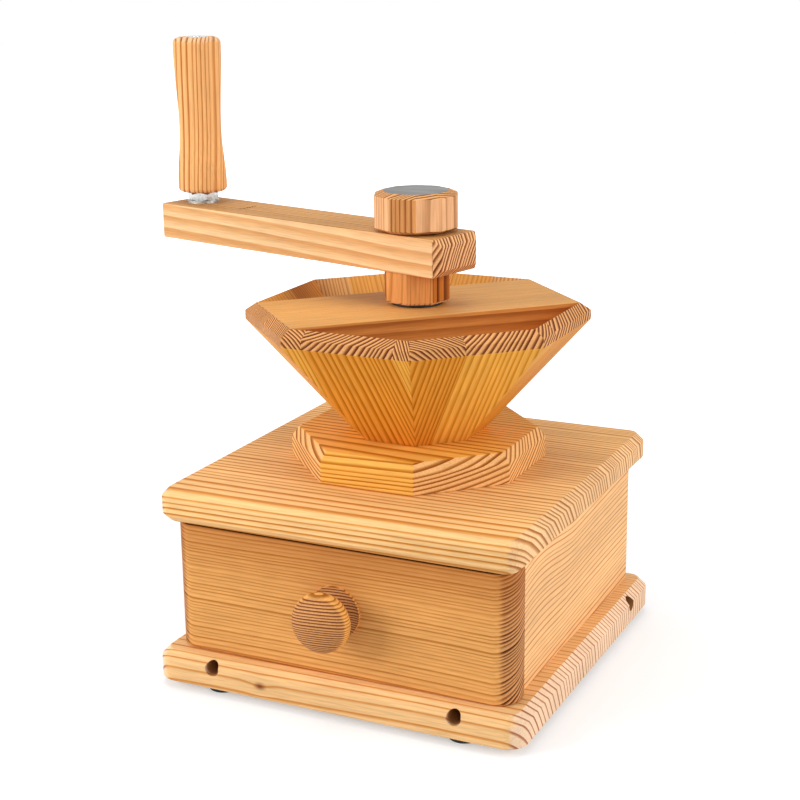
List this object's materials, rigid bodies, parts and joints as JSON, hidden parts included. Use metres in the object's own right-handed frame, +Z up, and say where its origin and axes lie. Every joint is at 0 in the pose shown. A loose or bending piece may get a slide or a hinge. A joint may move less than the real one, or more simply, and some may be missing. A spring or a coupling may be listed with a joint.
{
  "type": "hand grain mill",
  "caption": "Wooden hand grain mill with an eight-sided hopper, a top crank with a turned grip, an adjusting knob, hidden grinding stones and a flour drawer.",
  "frame": {"origin": "on the table, in the plane under the four feet, below the middle of the square base and top plates", "axes": "+Z up; +Y towards the back; the drawer opens towards -Y; +X to the right seen from the drawer side"},
  "size_m": [0.3102, 0.2437, 0.3585],
  "materials": {
    "larch_plates": "sanded and oiled larch",
    "larch_case": "sanded and oiled larch",
    "larch_hopper": "sanded and oiled larch",
    "larch_crank": "sanded and oiled larch",
    "larch_turned": "turned and oiled larch",
    "beech_dowel": "plain beech",
    "birch_plywood": "sanded birch plywood",
    "black_rubber": "matt",
    "black_plastic": "turned, matt",
    "grinding_stone": "rough ceramic grit",
    "zinc_steel": "zinc plated",
    "steel_disc": "brushed",
    "brass": "turned"
  },
  "bodies": {
    "housing": {"base_plate": "larch_plates", "rubber_feet": "black_rubber", "feet_screws": "zinc_steel", "left_side_panel": "larch_case", "right_side_panel": "larch_case", "back_panel": "larch_case", "base_screws": "zinc_steel", "top_dowels": "beech_dowel", "back_dowels": "beech_dowel", "top_plate": "larch_plates", "hopper_foot": "larch_plates", "foot_board_screws": "zinc_steel", "hopper_stave_1": "larch_hopper", "hopper_stave_2": "larch_hopper", "hopper_stave_3": "larch_hopper", "hopper_stave_4": "larch_hopper", "hopper_stave_5": "larch_hopper", "hopper_stave_6": "larch_hopper", "hopper_stave_7": "larch_hopper", "hopper_stave_8": "larch_hopper", "bridge_board": "larch_hopper", "bridge_bush": "black_plastic", "fixed_stone": "grinding_stone", "stone_bolts": "zinc_steel"},
    "crank": {"crank_arm": "larch_crank", "crank_collar": "larch_hopper", "drive_plate": "zinc_steel", "drive_plate_screws": "zinc_steel", "arm_insert": "brass", "grip_washer": "zinc_steel", "grip_lock_nut": "zinc_steel", "grip_bolt": "zinc_steel", "grip_cap_washer": "zinc_steel", "knob_washer": "zinc_steel"},
    "spindle": {"spindle": "zinc_steel", "runner_stone": "grinding_stone", "stone_carrier": "zinc_steel", "runner_bolts": "zinc_steel", "spindle_nut": "zinc_steel"},
    "knob": {"adjusting_knob": "larch_turned", "knob_insert": "brass", "knob_disc": "steel_disc"},
    "grip": {"grip": "larch_turned"},
    "drawer": {"drawer_front": "larch_case", "drawer_left_side": "beech_dowel", "drawer_right_side": "beech_dowel", "drawer_back": "beech_dowel", "drawer_bottom": "birch_plywood", "drawer_dowels": "beech_dowel", "drawer_knob": "larch_turned", "drawer_knob_screw": "zinc_steel"}
  },
  "joints": [
    {"name": "crank_turn", "type": "hinge", "parent": "housing", "child": "crank", "pos_m": [0, 0.007, 0.2], "axis": [0, 0, 1], "continuous": true},
    {"name": "grip_spin", "type": "hinge", "parent": "crank", "child": "grip", "pos_m": [-0.17194, 0.05307, 0.31], "axis": [0, 0, 1], "continuous": true},
    {"name": "knob_turn", "type": "hinge", "parent": "crank", "child": "knob", "pos_m": [0, 0.007, 0.265], "axis": [0, 0, -1], "range_deg": [-361, 121]},
    {"name": "spindle_lift", "type": "slide", "parent": "crank", "child": "spindle", "axis": [0, 0, 1], "range_m": [-0.0015, 0.0005]},
    {"name": "drawer_slide", "type": "slide", "parent": "housing", "child": "drawer", "axis": [0, -1, 0], "range_m": [0, 0.14]}
  ],
  "couplings": [
    {"joint": "knob_turn", "follows": "spindle_lift", "rad_per_m": 4188.8}
  ]
}
